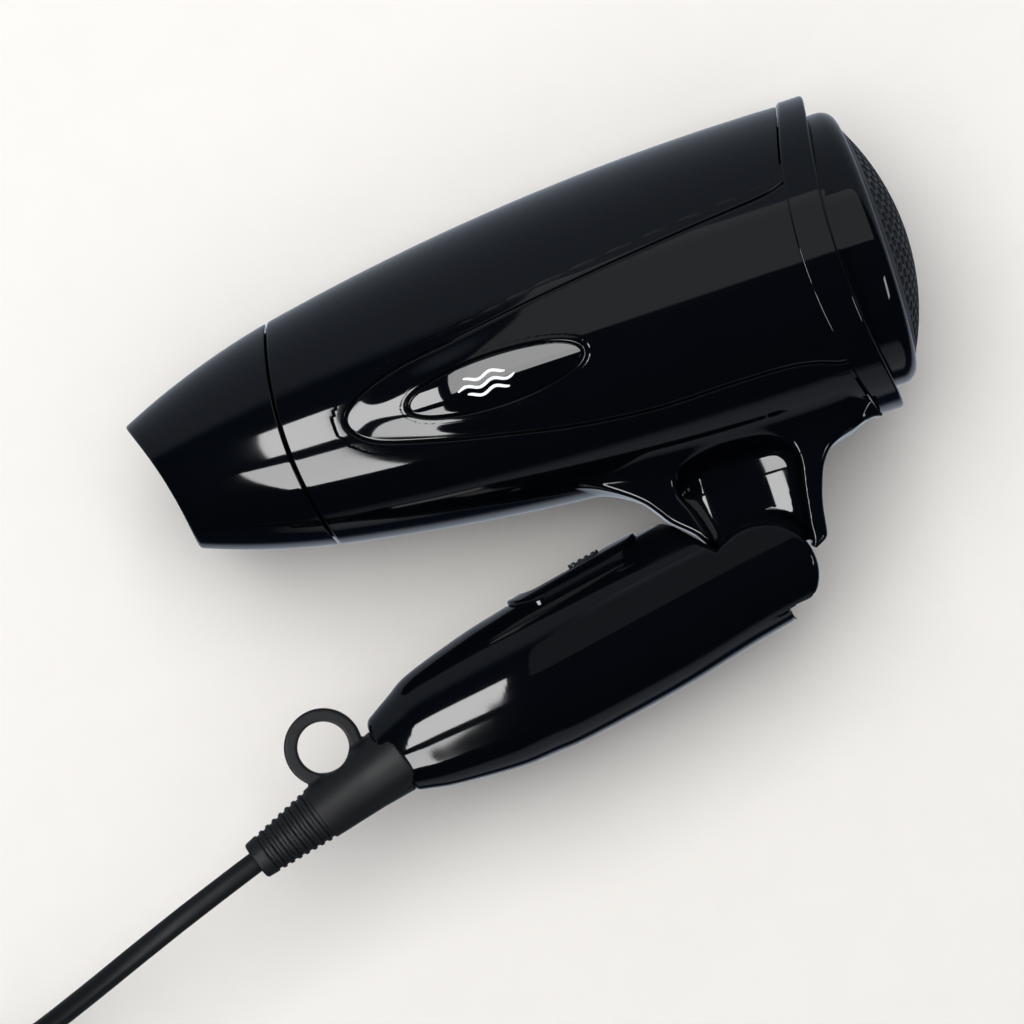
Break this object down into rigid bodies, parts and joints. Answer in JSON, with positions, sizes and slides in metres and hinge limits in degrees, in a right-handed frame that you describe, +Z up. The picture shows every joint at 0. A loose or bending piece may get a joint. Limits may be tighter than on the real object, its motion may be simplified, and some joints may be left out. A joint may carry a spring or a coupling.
{
  "type": "hair dryer",
  "caption": "Compact hair dryer with a tapering round barrel, a domed air inlet, a handle that folds under the barrel, a slide switch and a corded strain relief with a hanging loop.",
  "frame": {"origin": "middle of the dryer's bounding box, at the surface that it lies on; the cord, its coil and its plug are not counted", "axes": "+X along the barrel, towards the air outlet; +Y from the barrel towards the handle pivot; +Z up, out of the side that faces the viewer"},
  "size_m": [0.3811, 0.2015, 0.0834],
  "materials": {
    "gloss_black": "deep high-gloss moulded plastic",
    "satin_black": "satin moulded plastic",
    "badge_gloss": null,
    "heat_black": "heat-resistant moulded plastic",
    "rubber_black": "matt flexible PVC",
    "steel": "plain steel",
    "plug_brass": "nickel-plated brass",
    "mica": "mica sheet",
    "board": "printed circuit board",
    "wire_insulation": "silicone wire insulation"
  },
  "bodies": {
    "housing": {"barrel_shell": "gloss_black", "nozzle_shell": "gloss_black", "outlet_grille": "heat_black", "rear_collar": "satin_black", "rear_cap": "gloss_black", "inlet_grille": "satin_black", "inlet_screen": "steel", "side_panel_near": "gloss_black", "side_panel_far": "gloss_black", "badge_near": "badge_gloss", "badge_far": "badge_gloss", "motor_mount": "heat_black", "motor_can": "steel", "rectifier_board": "board", "mica_cross": "mica", "mica_sleeve": "mica", "heater_coil": "steel", "thermostat": "steel", "thermal_fuse": "steel", "barrel_leads": "wire_insulation"},
    "fan": {"fan_rotor": "heat_black", "motor_shaft": "steel"},
    "handle": {"handle_shell_near": "gloss_black", "handle_shell_far": "gloss_black", "handle_screws": "steel", "hinge_pin": "steel", "switch_plate": "satin_black", "switch_body": "heat_black", "cord_clamp": "heat_black", "handle_leads": "wire_insulation", "strain_relief": "rubber_black", "cord": "rubber_black", "cord_coil": "rubber_black", "cord_tail": "rubber_black", "plug_body": "rubber_black", "plug_pins": "plug_brass"},
    "switch": {"switch_knob": "satin_black"}
  },
  "joints": [
    {"name": "handle_fold", "type": "hinge", "parent": "housing", "child": "handle", "pos_m": [-0.04159, 0.04058, 0.0417], "axis": [0, 0, 1], "range_deg": [0, 80]},
    {"name": "fan_spin", "type": "hinge", "parent": "housing", "child": "fan", "pos_m": [-0.07219, -0.03112, 0.0417], "axis": [1, 0, 0], "continuous": true},
    {"name": "switch_slide", "type": "slide", "parent": "handle", "child": "switch", "axis": [0.9833, 0.1822, 0], "range_m": [0, 0.012]}
  ]
}
